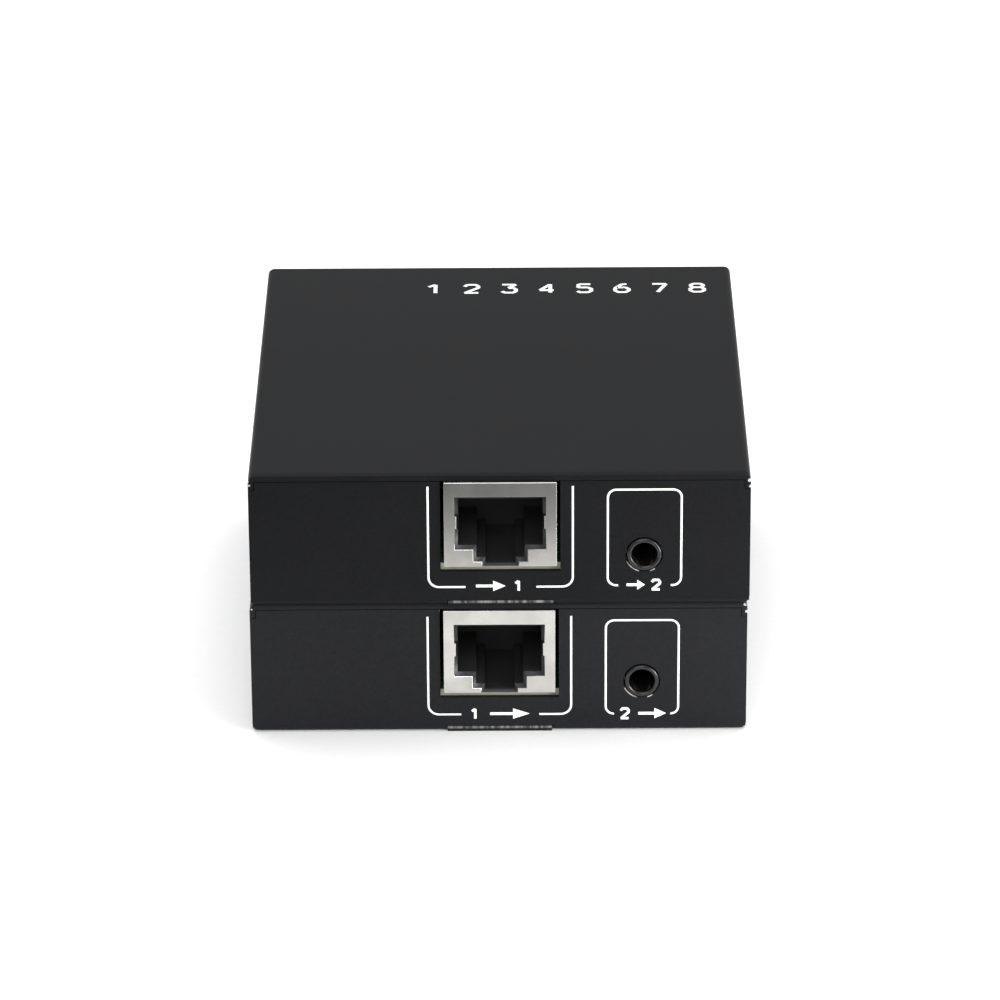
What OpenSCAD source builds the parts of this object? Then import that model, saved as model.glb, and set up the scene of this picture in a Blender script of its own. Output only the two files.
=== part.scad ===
// Pair of signal extender units: a receiver stacked on a transmitter.
// Each unit is a folded sheet case round a circuit board that carries its sockets.
// Millimetres, +Z up, -Y towards the line sockets, origin under the middle of the footprint.

/* [Case] */
// Width of each case
case_w = 71; // [69:0.5:90]
// Depth of each case
case_d = 78.5; // [77:0.5:110]
// Thickness of the sheet steel
sheet_t = 0.8; // [0.6:0.1:1.2]
// Inside radius of the sheet's bends
bend_inner_r = 0.2; // [0.1:0.1:0.5]
// Radius of the end panels' lower corners
panel_corner_r = 1.5; // [1.2:0.1:2.5]
// Gap between an end panel's top edge and the cover
cover_gap = 0.1; // [0.05:0.05:0.5]
// Clearance between the cover and the base
cover_slip = 0.1; // [0.05:0.05:0.3]
// Height of the lugs that close the cover's corners
lug_h = 2.1; // [1.6:0.1:3]
// Gap between the cover's lower edges and the surface below
skirt_gap = 0.3; // [0:0.1:1]

/* [Stack] */
// How far the receiver sits to the right of the transmitter
stack_shift_x = 0.23; // [-2:0.01:2]
// How far the receiver sits in front of the transmitter
stack_shift_y = 0.7; // [-2:0.1:2]

/* [Screws] */
// Thread diameter of every screw
screw_d = 3; // [2:0.5:3]
// Head diameter of the countersunk cover screws
cover_head_d = 5.2; // [4.8:0.1:6]
// Length of the cover screws
cover_screw_l = 5; // [4:0.5:6]
// Distance from an end of the case to a cover screw
cover_screw_inset = 18; // [14:0.5:24]
// Head diameter of the board screws
board_head_d = 5.5; // [5:0.1:6]
// Head height of the board screws
board_head_h = 1.8; // [1.4:0.1:2.4]
// Gap between a board screw's tip and the floor of its standoff
board_screw_tip_gap = 0.6; // [0.2:0.1:2]

/* [Circuit board] */
// Thickness of the board
board_t = 1.6; // [1.2:0.2:2]
// Height of the standoffs under the board
standoff_h = 4; // [3.8:0.1:8]
// Outer diameter of the standoffs
standoff_d = 5.2; // [4.8:0.1:6]
// Gap between the board and the end panels
board_end_gap = 0.15; // [0.1:0.05:0.6]
// Gap between the board and the screw tabs
board_side_gap = 0.4; // [0.2:0.1:1]
// Distance from the board's edges to its screws
board_screw_inset = 4.6; // [4.2:0.1:5.5]

/* [Line socket] */
// Centre of the line socket across the case
socket_x = 0.1; // [-8:0.1:5]
// Width of the socket's shield
socket_w = 16; // [15.6:0.1:17]
// Height of the socket's shield
socket_h = 13.05; // [12.8:0.05:16]
// Depth of the socket's shield
socket_d = 21.3; // [20:0.1:24]
// How far the shield stands out of the front panel
socket_proud = 0.6; // [0.4:0.1:1]
// Width of the opening for the plug
plug_w = 12; // [11.8:0.1:12.2]
// Height of the opening for the plug
plug_h = 7.2; // [7:0.1:7.4]
// Room between the shield and the panel's notch
notch_gap = 0.5; // [0.3:0.1:1]

/* [Remote control jack] */
// Distance from the right side of the case to the jack's centre
jack_from_side = 15; // [13.5:0.1:17.5]
// Diameter of the jack's bore
jack_bore_d = 3.6; // [3.55:0.05:3.7]
// Diameter of the jack's nose
jack_nose_d = 4.95; // [4.6:0.05:5.1]
// Gap between the nose and the panel hole round it
jack_hole_gap = 0.175; // [0.1:0.025:0.5]
// How far the nose stands out of the front panel
jack_proud = 0.3; // [0:0.1:0.5]

/* [Video port] */
// Distance from the right side of the case to the centre of the video port
port_from_side = 23.5; // [16:0.5:27]
// Width of the port's mouth
port_w = 14; // [13.6:0.1:14.6]
// Height of the port's mouth
port_h = 4.55; // [4.3:0.05:5]
// Depth of the port's shell
port_d = 11.5; // [11:0.1:14]
// How far the shell stands out of the rear panel
port_proud = 0.4; // [0:0.1:0.6]

/* [Power jack] */
// Distance from the left side of the case to the centre of the power jack
power_from_side = 15.5; // [13.5:0.5:21]
// Diameter of the power jack's mouth
power_bore_d = 6.3; // [6:0.1:6.5]
// Diameter of the power jack's centre pin
power_pin_d = 2; // [1.9:0.1:2.4]

/* [Status light] */
// Centre of the status light across the case
led_x = -5; // [-8:0.5:0]
// Diameter of the status light
led_d = 3; // [2.6:0.1:3.4]

/* [Hidden] */
// Sides on a full curve
$fn = 48;
// Extra length that carries every cut clear of the face it starts from
overrun = 0.5;
// Smallest running gap between neighbours that don't touch
hairline = 0.05;

// Levels from the underside upwards
board_z = sheet_t + standoff_h;
board_top = board_z + board_t;
case_h = board_top + socket_h + hairline + sheet_t;
panel_h = case_h - sheet_t - cover_gap;

// Folded sheet
bend_outer_r = bend_inner_r + sheet_t;
end_room = sheet_t + cover_slip;
floor_w = case_w - 2 * end_room;
tab_l = 10;
tab_relief = 0.5;
tab_above_screw = 3.5;
tongue_w = 15;
tongue_back = 0.1;
tongue_slit = 0.12;

// Screws
thread_gap = 0.02;
recess_w = 0.6;
recess_depth = 0.6;
recess_share = 0.55;
pan_rim_share = 0.55;
pan_top_share = 0.75;
cover_screw_z = case_h / 2;
cover_screw_ys = [cover_screw_inset, case_d - cover_screw_inset];
cover_head_h = (cover_head_d - screw_d) / 2;
tab_h = cover_screw_z + tab_above_screw;
collar_wall = 0.8;
collar_h = 1;
board_screw_l = standoff_h + board_t - board_screw_tip_gap;

// Board
board_w = floor_w - 2 * (sheet_t + board_side_gap);
board_y = sheet_t + board_end_gap;
board_d = case_d - 2 * board_y;
board_corner_r = 1.2;
board_hole_gap = 0.2;
board_screw_x = board_w / 2 - board_screw_inset;
board_screw_ys = [board_y + board_screw_inset, board_y + board_d - board_screw_inset];
spigot_wall = 0.6;
spigot_d = screw_d + 2 * spigot_wall;
leg_w = 1.6;
leg_drop = 2.6;
leg_gap = 0.1;

// Line socket: shield
foil_t = 0.25;
frame_gap = 0.45;
frame_top = 2.25;
side_spring_h = 2;
side_spring_l = 5;
side_spring_drop = 3.9;
side_spring_room = 0.2;
notch_drop = 1;
socket_leg_ys = [4.5, 13.5];
socket_y = -socket_proud;
socket_top = board_top + socket_h;

// Line socket: plug opening, a stack of three widths with one top edge
plug_top = socket_top - frame_top - frame_gap;
plug_bottom = plug_top - plug_h;
latch_w = 6.8;
latch_h = 1.9;
catch_w = 4.25;
catch_h = 0.9;
plug_steps = [
    [plug_w, plug_bottom],
    [latch_w, plug_bottom - latch_h],
    [catch_w, plug_bottom - latch_h - catch_h]
];
plug_depth = 13.5;
side_spring_z = plug_top + frame_gap - side_spring_drop - side_spring_h / 2;
housing_y = socket_y + foil_t;
peg_d = 3.2;
peg_gap = 0.1;
peg_drop = 1.9;
peg_y = 8.9;
peg_x = 5.7;

// Line socket: contact wires
wire_count = 8;
wire_pitch = 1.016;
wire_t = 0.4;
wire_slot_gap = 0.1;
wire_y = 2.4;
wire_roof = 0.75;
wire_tail_in = 3.7;
wire_tail_y = socket_y + socket_d - wire_tail_in;
wire_arm_l = 8;
wire_arm_angle = 24;
comb_l = 4;
comb_h = 4.2;

// Remote control jack
jack_body_w = 6;
jack_body_h = 5;
jack_body_d = 12;
jack_above_board = 1.6;
jack_behind_panel = 0.5;
jack_bore_l = 12.4;
jack_throat_l = 2.2;
jack_throat_step = 0.25;
jack_inner_bore_d = jack_bore_d + 2 * jack_throat_step;
jack_rim_r = 0.3;
jack_ear_w = 1.2;
jack_ear_t = 0.4;
jack_ear_l = 6;
jack_ear_y = 4.2;
jack_cutout_gap = 0.25;
jack_hole_d = jack_nose_d + 2 * jack_hole_gap;
jack_x = case_w / 2 - jack_from_side;
jack_z = board_top + jack_above_board;
jack_y = sheet_t + jack_behind_panel;
jack_back_y = jack_y + jack_body_d;

// Remote control jack: contact leaves in windows through the side walls of its body
leaf_t = 0.25;
leaf_w = 1.6;
leaf_l = 5;
leaf_root_y = 11.4;
leaf_bump_r = 0.5;
leaf_bump_in = 0.4;
leaf_bump_back = 1;
leaf_room = 0.2;
leaf_x = jack_bore_d / 2 + hairline;
leaf_bump_x = jack_bore_d / 2 - leaf_bump_in + leaf_bump_r;
sleeve_y = 2.8;
foot_x = 3.6;
foot_w = 1.2;
foot_l = 1;

// Video port
port_wall = 0.3;
port_chamfer = 1.9;
port_hole_gap = 0.3;
port_block_l = 2.4;
port_x = case_w / 2 - port_from_side;
port_z = board_top + port_wall;
port_mouth_y = case_d + port_proud;
blade_w = 11.4;
blade_t = 1.7;
blade_in = 2.2;
pad_count = 10;
pad_pitch = 1;
pad_w = 0.5;
pad_t = 0.1;
pad_in = 0.5;
pad_root_gap = 0.9;
pad_l = port_d - port_block_l - blade_in - pad_in - pad_root_gap;
tail_w = 0.3;
tail_l = 1.2;
tail_t = 0.2;
port_spring_w = 1.6;
port_spring_l = 4;
port_spring_slit = 0.3;
port_spring_x = 3.6;
port_spring_in = 2.5;
port_leg_ins = [3, 9.5];

// Power jack
power_w = 9;
power_h = 11;
power_d = 14.2;
power_axis_h = 6.5;
power_x = power_from_side - case_w / 2;
power_z = board_top + power_axis_h;
power_collar_wall = 0.85;
power_collar_gap = 0.2;
power_hole_d = power_bore_d + 2 * (power_collar_wall + power_collar_gap);
power_proud = 0.2;
power_bore_l = 10;
power_block_gap = 0.3;
power_block_y = case_d - sheet_t - power_block_gap - power_d;
power_mouth_y = case_d + power_proud;
power_pin_in = 0.8;
power_pin_root_wall = 0.3;
power_pin_root_d = power_pin_d + 2 * power_pin_root_wall;
power_pin_tip_l = 0.6;
power_pin_tip_share = 0.5;
power_lug_w = 2.4;
power_lug_t = 0.3;
power_leaf_w = 2.6;
power_leaf_l = 6.6;
power_leaf_in = 0.9;
power_leaf_drop = 1.6;
power_leaf_room = 0.3;
power_leaf_x = power_bore_d / 2 + hairline;

// Status light
led_above_board = 4;
led_proud = 0.6;
led_body_l = 3.6;
led_flange_wall = 0.35;
led_flange_t = 0.9;
led_hole_gap = 0.15;
led_leg_t = 0.5;
led_leg_pitch = 2.54;
led_leg_l = 1.8;
led_z = board_top + led_above_board;

// Parts on the board: sizes, and gaps to what each stands beside
lead_t = 0.2;
lead_l = 1.1;
lead_bend_share = 0.4;
lead_rise_share = 0.45;
lead_width_share = 0.4;
chip_lift = 0.1;
transformer_size = [15.4, 12.6, 5.8];
transformer_leads = 8;
transformer_pitch = 1.27;
video_chip_size = [14, 14, 1.4];
video_chip_x = 2;
video_chip_leads = 13;
video_chip_pitch = 0.9;
control_chip_size = [5, 4, 1.5];
control_chip_gap = 9.7;
control_chip_leads = 4;
control_chip_pitch = 0.9;
regulator_size = [3.6, 6.5, 1.6];
regulator_from_side = 13.35;
regulator_from_front = 12.5;
regulator_leads = 3;
regulator_pitch = 2.3;
regulator_tab_w = 3;
inductor_w = 7.2;
inductor_h = 3.6;
inductor_chamfer = 1.6;
inductor_core_d = 5.6;
inductor_core_h = 0.4;
inductor_from_side = 14.35;
inductor_behind_regulator = 10;
capacitor_d = 6.3;
capacitor_h = 5.4;
capacitor_base_w = 6.6;
capacitor_base_h = 0.8;
capacitor_base_r = 0.8;
capacitor_count = 3;
capacitor_pitch = 8;
capacitor_side_gap = 4.05;
capacitor_jack_gap = 1.9;
crystal_size = [4.6, 11.2, 3.4];
crystal_gap = 2.6;
resistor_size = [2, 1.25, 0.5];
resistor_cap_share = 0.2;
resistor_cap_t = 0.05;
resistor_columns = 4;
resistor_rows = 4;
resistor_pitch = [3, 2.6];
resistor_side_gap = 3.45;
resistor_gap = 7;

// Places on the board: two large parts share the room between the line socket and the video port
transformer_gap_share = 0.27;
video_chip_gap_share = 0.25;
board_side = board_w / 2;
socket_back_y = socket_y + socket_d;
large_parts_l = transformer_size.y + video_chip_size.y + 2 * lead_l;
spare_y = port_mouth_y - port_d - tail_l - socket_back_y - large_parts_l;
transformer_y = socket_back_y + transformer_gap_share * spare_y + transformer_size.y / 2;
transformer_back_y = transformer_y + transformer_size.y / 2;
video_chip_y = transformer_back_y + video_chip_gap_share * spare_y + lead_l + video_chip_size.y / 2;
transformer_at = [socket_x, transformer_y];
video_chip_at = [video_chip_x, video_chip_y];
crystal_at = [video_chip_x - video_chip_size.x / 2 - lead_l - crystal_gap - crystal_size.x / 2, video_chip_y];
control_chip_at = [jack_x, jack_back_y + control_chip_gap + control_chip_size.y / 2];
resistor_at = [
    board_side - resistor_side_gap - (resistor_columns - 1) * resistor_pitch.x,
    control_chip_at.y + control_chip_size.y / 2 + resistor_gap
];
regulator_at = [regulator_from_side - board_side, board_y + regulator_from_front];
inductor_at = [inductor_from_side - board_side, regulator_at.y + inductor_behind_regulator];
capacitor_at = [
    capacitor_side_gap + capacitor_base_w / 2 - board_side,
    power_block_y - capacitor_jack_gap - capacitor_base_w / 2
];

// Where each unit stands, so that the pair's footprint is centred on the origin
front_proud = max(socket_proud, jack_proud);
rear_proud = max(port_proud, power_proud, led_proud);
stack_y = (front_proud - rear_proud - case_d + stack_shift_y) / 2;
transmitter_at = [-stack_shift_x / 2, stack_y, 0];
receiver_at = [stack_shift_x / 2, stack_y - stack_shift_y, case_h];

// Colours
case_colour = "#2b2d2f";
steel_colour = "#c9c8c0";
black_plastic = "#17181a";
gold_colour = "#c9a24a";
board_colour = "#1f5a38";
zinc_colour = "#9fa3a6";

UNITS = ["transmitter", "receiver"];
PIECES = [
    "cover", "base", "cover_screws", "standoffs", "board", "board_screws",
    "line_socket_shield", "line_socket_housing", "line_socket_leads", "line_socket_contacts",
    "remote_jack_body", "remote_jack_terminals", "remote_jack_spring",
    "video_port_shell", "video_port_tongue", "video_port_contacts",
    "power_jack_body", "power_jack_terminals", "power_jack_spring", "status_light",
    "line_transformer", "video_chip", "control_chip", "regulator", "inductor",
    "capacitors", "crystal", "resistors"
];

// Placing and extruding

module transmitter() {
    translate(transmitter_at)
        children();
}

module receiver() {
    translate(receiver_at)
        children();
}

// Extrudes a y-z section along x, centred
module along_x(length) {
    translate([-length / 2, 0, 0])
        rotate([90, 0, 90])
            linear_extrude(length)
                children();
}

// Extrudes an x-z section from y = 0 backwards
module along_y(length) {
    translate([0, length, 0])
        rotate([90, 0, 0])
            linear_extrude(length)
                children();
}

// Cylinder from y = 0 backwards
module rod_y(length, d1, d2) {
    rotate([-90, 0, 0])
        cylinder(h = length, d1 = d1, d2 = d2);
}

// Block centred on x = 0, from the given y and z
module block(size, y, z) {
    translate([-size.x / 2, y, z])
        cube(size);
}

// Rectangle with its two lower corners rounded
module tray_2d(w, h, r) {
    translate([r, 0])
        square([w - 2 * r, h]);
    translate([0, r])
        square([w, h - r]);
    for (x = [r, w - r])
        translate([x, r])
            circle(r);
}

// Sheet section: a floor with a wall bent up at each end
module channel_2d(length, height) {
    difference() {
        tray_2d(length, height, bend_outer_r);
        translate([sheet_t, sheet_t])
            tray_2d(length - 2 * sheet_t, height, bend_inner_r);
    }
}

// Rectangle with all four corners rounded, centred on x = 0
module rounded_2d(w, h, r) {
    translate([-w / 2 + r, 0])
        square([w - 2 * r, h]);
    translate([-w / 2, r])
        square([w, h - 2 * r]);
    for (x = [-w / 2 + r, w / 2 - r], y = [r, h - r])
        translate([x, y])
            circle(r);
}

// Screws

// Cross slots cut into a screw head that faces +Z at z = 0
module cross_recess(head_d) {
    for (turn = [0, 90])
        rotate(turn)
            translate([-head_d * recess_share / 2, -recess_w / 2, -recess_depth])
                cube([head_d * recess_share, recess_w, recess_depth + overrun]);
}

// Countersunk screw that points down from z = 0
module countersunk_screw() {
    difference() {
        union() {
            translate([0, 0, -cover_head_h])
                cylinder(h = cover_head_h, d1 = screw_d, d2 = cover_head_d);
            translate([0, 0, -cover_screw_l])
                cylinder(h = cover_screw_l - cover_head_h / 2, d = screw_d);
        }
        cross_recess(cover_head_d);
    }
}

// Flaring hole for a countersunk head, as long as the head and open above z = 0
module countersink() {
    far_d = cover_head_d + 2 * (overrun + thread_gap);
    translate([0, 0, -cover_head_h])
        cylinder(h = cover_head_h + overrun, d1 = screw_d + 2 * thread_gap, d2 = far_d);
}

// Pan-head screw that points down from under its head at z = 0
module pan_screw() {
    rim_h = board_head_h * pan_rim_share;
    difference() {
        union() {
            cylinder(h = rim_h, d = board_head_d);
            translate([0, 0, rim_h])
                cylinder(h = board_head_h - rim_h, d1 = board_head_d, d2 = board_head_d * pan_top_share);
            translate([0, 0, -board_screw_l])
                cylinder(h = board_screw_l + rim_h / 2, d = screw_d);
        }
        translate([0, 0, board_head_h])
            cross_recess(board_head_d);
    }
}

// Puts its children at each cover screw, with +Z pointing out of the case
module at_cover_screws() {
    for (side = [-1, 1], y = cover_screw_ys)
        translate([side * case_w / 2, y, cover_screw_z])
            rotate([0, side * 90, 0])
                children();
}

// Puts its children at each board screw, at the given height
module at_board_screws(z) {
    for (x = [-board_screw_x, board_screw_x], y = board_screw_ys)
        translate([x, y, z])
            children();
}

// Case

// Outline of an end panel, with room for the cover's lugs at its upper corners
module end_panel_2d() {
    notch_h = lug_h - sheet_t - cover_gap + cover_slip;
    difference() {
        translate([-case_w / 2, 0])
            tray_2d(case_w, panel_h, panel_corner_r);
        for (side = [-1, 1])
            translate([side * case_w / 2, panel_h])
                square([2 * end_room, 2 * notch_h], center = true);
    }
}

module base_sheet() {
    // floor and end panels, folded from one sheet, with the floor narrower than the panels
    difference() {
        intersection() {
            along_x(case_w)
                channel_2d(case_d, panel_h);
            along_y(case_d)
                end_panel_2d();
        }
        for (side = [-1, 1])
            translate([side * case_w / 2, case_d / 2, 0])
                cube([2 * end_room, case_d - 2 * sheet_t, 2 * case_h], center = true);
        for (side = [-1, 1], y = cover_screw_ys)
            translate([side * floor_w / 2, y, 0])
                cube([2 * bend_outer_r, tab_l + 2 * tab_relief, 2 * panel_h], center = true);
    }
    // tabs that take the cover's screws
    for (y = cover_screw_ys)
        translate([0, y - tab_l / 2, 0])
            along_y(tab_l)
                translate([-floor_w / 2, 0])
                    channel_2d(floor_w, tab_h);
    for (side = [-1, 1], y = cover_screw_ys)
        translate([side * (floor_w / 2 - sheet_t / 2), y, cover_screw_z])
            rotate([0, -side * 90, 0])
                cylinder(h = collar_h + sheet_t / 2, d = screw_d + 2 * collar_wall);
}

module base() {
    window_w = tongue_w + 2 * tongue_slit;
    window_h = sheet_t + tongue_slit;
    color(case_colour) {
        difference() {
            base_sheet();
            at_cover_screws() {
                countersink();
                translate([0, 0, -cover_screw_l - overrun])
                    cylinder(h = cover_screw_l + overrun, d = screw_d + 2 * thread_gap);
            }
            at_board_screws(-overrun)
                cylinder(h = sheet_t + 2 * overrun, d = spigot_d + 2 * thread_gap);
            front_panel_cuts();
            rear_panel_cuts();
            translate([socket_x, 0, 0])
                block([window_w, bend_outer_r + overrun, window_h + overrun], -overrun, -overrun);
        }
        translate([socket_x, 0, 0])
            block([tongue_w, bend_outer_r - tongue_back, sheet_t], tongue_back, 0);
    }
}

module front_panel_cuts() {
    notch_z = board_top - notch_drop;
    translate([socket_x, 0, 0])
        block([socket_w + 2 * notch_gap, sheet_t + 2 * overrun, case_h], -overrun, notch_z);
    translate([jack_x, -overrun, jack_z])
        rod_y(sheet_t + 2 * overrun, jack_hole_d, jack_hole_d);
}

module rear_panel_cuts() {
    cut_l = sheet_t + 2 * overrun;
    translate([0, case_d - sheet_t - overrun, 0]) {
        translate([port_x, 0, port_z])
            along_y(cut_l)
                port_2d(port_wall + port_hole_gap);
        translate([power_x, 0, power_z])
            rod_y(cut_l, power_hole_d, power_hole_d);
        translate([led_x, 0, led_z])
            rod_y(cut_l, led_d + 2 * led_hole_gap, led_d + 2 * led_hole_gap);
    }
}

module cover() {
    side_h = case_h - skirt_gap;
    color(case_colour)
        difference() {
            translate([-case_w / 2, 0, case_h])
                mirror([0, 0, 1])
                    along_y(case_d)
                        channel_2d(case_w, side_h);
            // the sides stop behind the end panels, below the lugs
            for (y = [0, case_d])
                translate([0, y, 0])
                    cube([case_w + 2 * overrun, 2 * end_room, 2 * (case_h - lug_h)], center = true);
            at_cover_screws()
                countersink();
        }
}

module cover_screws() {
    color(zinc_colour)
        at_cover_screws()
            countersunk_screw();
}

// Board and what holds it

module standoffs() {
    color(zinc_colour)
        at_board_screws(0)
            difference() {
                union() {
                    cylinder(h = sheet_t + standoff_h / 2, d = spigot_d);
                    translate([0, 0, sheet_t])
                        cylinder(h = standoff_h, d = standoff_d);
                }
                translate([0, 0, sheet_t])
                    cylinder(h = standoff_h + overrun, d = screw_d + 2 * thread_gap);
            }
}

module board_screws() {
    color(steel_colour)
        at_board_screws(board_top)
            pan_screw();
}

module board() {
    hole_d = screw_d + 2 * board_hole_gap;
    cutout_w = jack_body_w + 2 * jack_cutout_gap;
    color(board_colour)
        difference() {
            translate([0, board_y, board_z])
                linear_extrude(board_t)
                    rounded_2d(board_w, board_d, board_corner_r);
            at_board_screws(board_z - overrun)
                cylinder(h = board_t + 2 * overrun, d = hole_d);
            translate([jack_x, 0, board_z - overrun])
                block([cutout_w, jack_back_y + jack_cutout_gap, board_t + 2 * overrun], 0, 0);
            at_socket_pegs(board_z - overrun)
                cylinder(h = board_t + 2 * overrun, d = peg_d + 2 * peg_gap);
            at_socket_legs()
                leg(leg_gap);
            at_port_legs()
                leg(leg_gap);
        }
}

// Solder leg down through the board, grown sideways by a gap
module leg(gap) {
    translate([-foil_t / 2 - gap, -leg_w / 2 - gap, -leg_drop])
        cube([foil_t + 2 * gap, leg_w + 2 * gap, leg_drop + foil_t]);
}

module at_socket_legs() {
    for (side = [-1, 1], y = socket_leg_ys)
        translate([socket_x + side * (socket_w - foil_t) / 2, socket_y + y, board_top])
            children();
}

module at_port_legs() {
    for (side = [-1, 1], y = port_leg_ins)
        translate([port_x + side * (port_w / 2 - port_chamfer - foil_t), port_mouth_y - y, board_top])
            children();
}

module at_socket_pegs(z) {
    for (side = [-1, 1])
        translate([socket_x + side * peg_x, socket_y + peg_y, z])
            children();
}

// Line socket

// The plug's stepped opening as an x-z outline, grown by a gap
module plug_2d(grow) {
    for (step = plug_steps)
        translate([-step[0] / 2 - grow, step[1] - grow])
            square([step[0] + 2 * grow, plug_top - step[1] + 2 * grow]);
}

// Opening that narrows by the frame's gap over the same depth behind y = 0
module flared_mouth() {
    for (step = plug_steps) {
        half_w = step[0] / 2;
        intersection() {
            translate([0, 0, step[1] - frame_gap])
                linear_extrude(plug_top - step[1] + 2 * frame_gap)
                    polygon([
                        [-half_w - frame_gap, -overrun], [half_w + frame_gap, -overrun],
                        [half_w + frame_gap, 0], [half_w, frame_gap],
                        [-half_w, frame_gap], [-half_w - frame_gap, 0]
                    ]);
            along_x(step[0] + 2 * frame_gap)
                polygon([
                    [-overrun, step[1] - frame_gap], [0, step[1] - frame_gap], [frame_gap, step[1]],
                    [frame_gap, plug_top], [0, plug_top + frame_gap], [-overrun, plug_top + frame_gap]
                ]);
        }
    }
}

module line_socket_shield() {
    spring_x = plug_w / 2 + frame_gap;
    color(steel_colour) {
        translate([socket_x, socket_y, 0]) {
            difference() {
                block([socket_w, socket_d, socket_h], 0, board_top);
                block([socket_w - 2 * foil_t, socket_d - 2 * foil_t, socket_h], foil_t, board_top - foil_t);
                translate([0, -overrun, 0])
                    along_y(foil_t + 2 * overrun)
                        plug_2d(frame_gap);
            }
            // grounding springs beside the opening
            for (side = [-1, 1]) {
                translate([side * (spring_x - foil_t / 2), 0, 0])
                    block([foil_t, side_spring_l, side_spring_h], 0, side_spring_z);
                translate([side * spring_x, 0, 0])
                    block([2 * foil_t, foil_t, side_spring_h], 0, side_spring_z);
            }
        }
        at_socket_legs()
            leg(0);
    }
}

// Puts its children at each contact wire
module at_wires() {
    for (i = [0 : wire_count - 1])
        translate([socket_x + (i - (wire_count - 1) / 2) * wire_pitch, 0, 0])
            children();
}

// Fixed part of a contact wire, from the board over the roof to its front end, grown by a gap
module wire_path(gap, below) {
    run_z = plug_top + wire_roof;
    thick = wire_t + 2 * gap;
    block([thick, wire_tail_y - wire_y + thick, thick], wire_y - gap, run_z - gap);
    block([thick, thick, run_z + wire_t + gap - plug_top + below], wire_y - gap, plug_top - below);
    block([thick, thick, run_z + wire_t + gap - board_top + below], wire_tail_y - gap, board_top - below);
}

module line_socket_housing() {
    pocket_w = foil_t + 2 * side_spring_room;
    pocket_l = side_spring_l + side_spring_room + overrun;
    pocket_h = side_spring_h + 2 * side_spring_room;
    pocket_z = side_spring_z - side_spring_room;
    rib_w = wire_pitch - wire_t - 2 * wire_slot_gap;
    comb_y = housing_y + plug_depth - comb_l;
    color(black_plastic) {
        difference() {
            translate([socket_x, housing_y, 0])
                block([socket_w - 2 * foil_t, socket_d - 2 * foil_t, socket_h - foil_t], 0, board_top);
            translate([socket_x, housing_y - overrun, 0])
                along_y(plug_depth + overrun)
                    plug_2d(0);
            translate([socket_x, housing_y, 0])
                flared_mouth();
            // pockets for the shield's grounding springs
            for (side = [-1, 1])
                translate([socket_x + side * (plug_w / 2 + frame_gap - foil_t / 2), 0, 0])
                    block([pocket_w, pocket_l, pocket_h], socket_y - overrun, pocket_z);
            at_wires()
                wire_path(wire_slot_gap, overrun);
        }
        // comb that keeps the wires' free ends apart
        for (i = [0 : wire_count])
            translate([socket_x + (i - wire_count / 2) * wire_pitch, 0, 0])
                block([rib_w, comb_l + overrun, comb_h + overrun], comb_y, plug_top - comb_h);
        at_socket_pegs(board_top - peg_drop)
            cylinder(h = peg_drop + overrun, d = peg_d);
    }
}

module line_socket_leads() {
    color(gold_colour)
        at_wires()
            wire_path(0, 0);
}

// Free arms of the contact wires, which a plug lifts about their front ends
module line_socket_contacts() {
    color(gold_colour)
        at_wires()
            translate([0, wire_y + wire_t / 2, plug_top - hairline - wire_t / 2])
                rotate([-wire_arm_angle, 0, 0]) {
                    rotate([0, 90, 0])
                        cylinder(h = wire_t, d = wire_t, center = true);
                    block([wire_t, wire_arm_l, wire_t], 0, -wire_t / 2);
                }
}

// Remote control jack

// Ring section of the nose, with its front edge rounded inside and out
module nose_2d(length) {
    inner = jack_bore_d / 2;
    wall = (jack_nose_d - jack_bore_d) / 2;
    translate([inner, jack_rim_r])
        square([wall, length - jack_rim_r]);
    translate([inner + jack_rim_r, 0])
        square([wall - 2 * jack_rim_r, length]);
    for (x = [inner + jack_rim_r, inner + wall - jack_rim_r])
        translate([x, jack_rim_r])
            circle(jack_rim_r);
}

module remote_jack_body() {
    window_h = leaf_w + 2 * leaf_room;
    window_l = leaf_l + foot_l + leaf_room;
    sleeve_window_y = sleeve_y + leaf_t / 2 - foot_l / 2;
    ears_w = jack_body_w + 2 * jack_ear_w;
    bore_l = jack_bore_l - jack_proud;
    color(black_plastic)
        translate([jack_x, 0, jack_z]) {
            difference() {
                union() {
                    block([jack_body_w, jack_body_d, jack_body_h], jack_y, -jack_body_h / 2);
                    block([ears_w, jack_ear_l, jack_ear_t], jack_ear_y, -jack_above_board);
                }
                translate([0, jack_y - overrun, 0])
                    rod_y(bore_l - jack_y + overrun, jack_inner_bore_d, jack_inner_bore_d);
                // windows for the leaves on both sides, and for the sleeve contact on the left
                block([2 * jack_body_w, window_l, window_h], leaf_root_y - leaf_l - leaf_room, -window_h / 2);
                translate([-jack_body_w, 0, 0])
                    block([2 * jack_body_w, foot_l, window_h], sleeve_window_y, -window_h / 2);
            }
            translate([0, -jack_proud, 0])
                rotate([-90, 0, 0])
                    rotate_extrude()
                        nose_2d(jack_proud + jack_throat_l);
        }
}

// Leaf that bears on the plug, hinged at its root and pointing forwards, on the right of the bore
module leaf() {
    translate([leaf_x, leaf_root_y - leaf_l, -leaf_w / 2])
        cube([leaf_t, leaf_l, leaf_w]);
    translate([leaf_x + leaf_t / 2, leaf_root_y, -leaf_w / 2])
        cylinder(h = leaf_w, d = leaf_t);
    translate([leaf_bump_x, leaf_root_y - leaf_l + leaf_bump_back, -leaf_w / 2])
        cylinder(h = leaf_w, r = leaf_bump_r);
}

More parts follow.
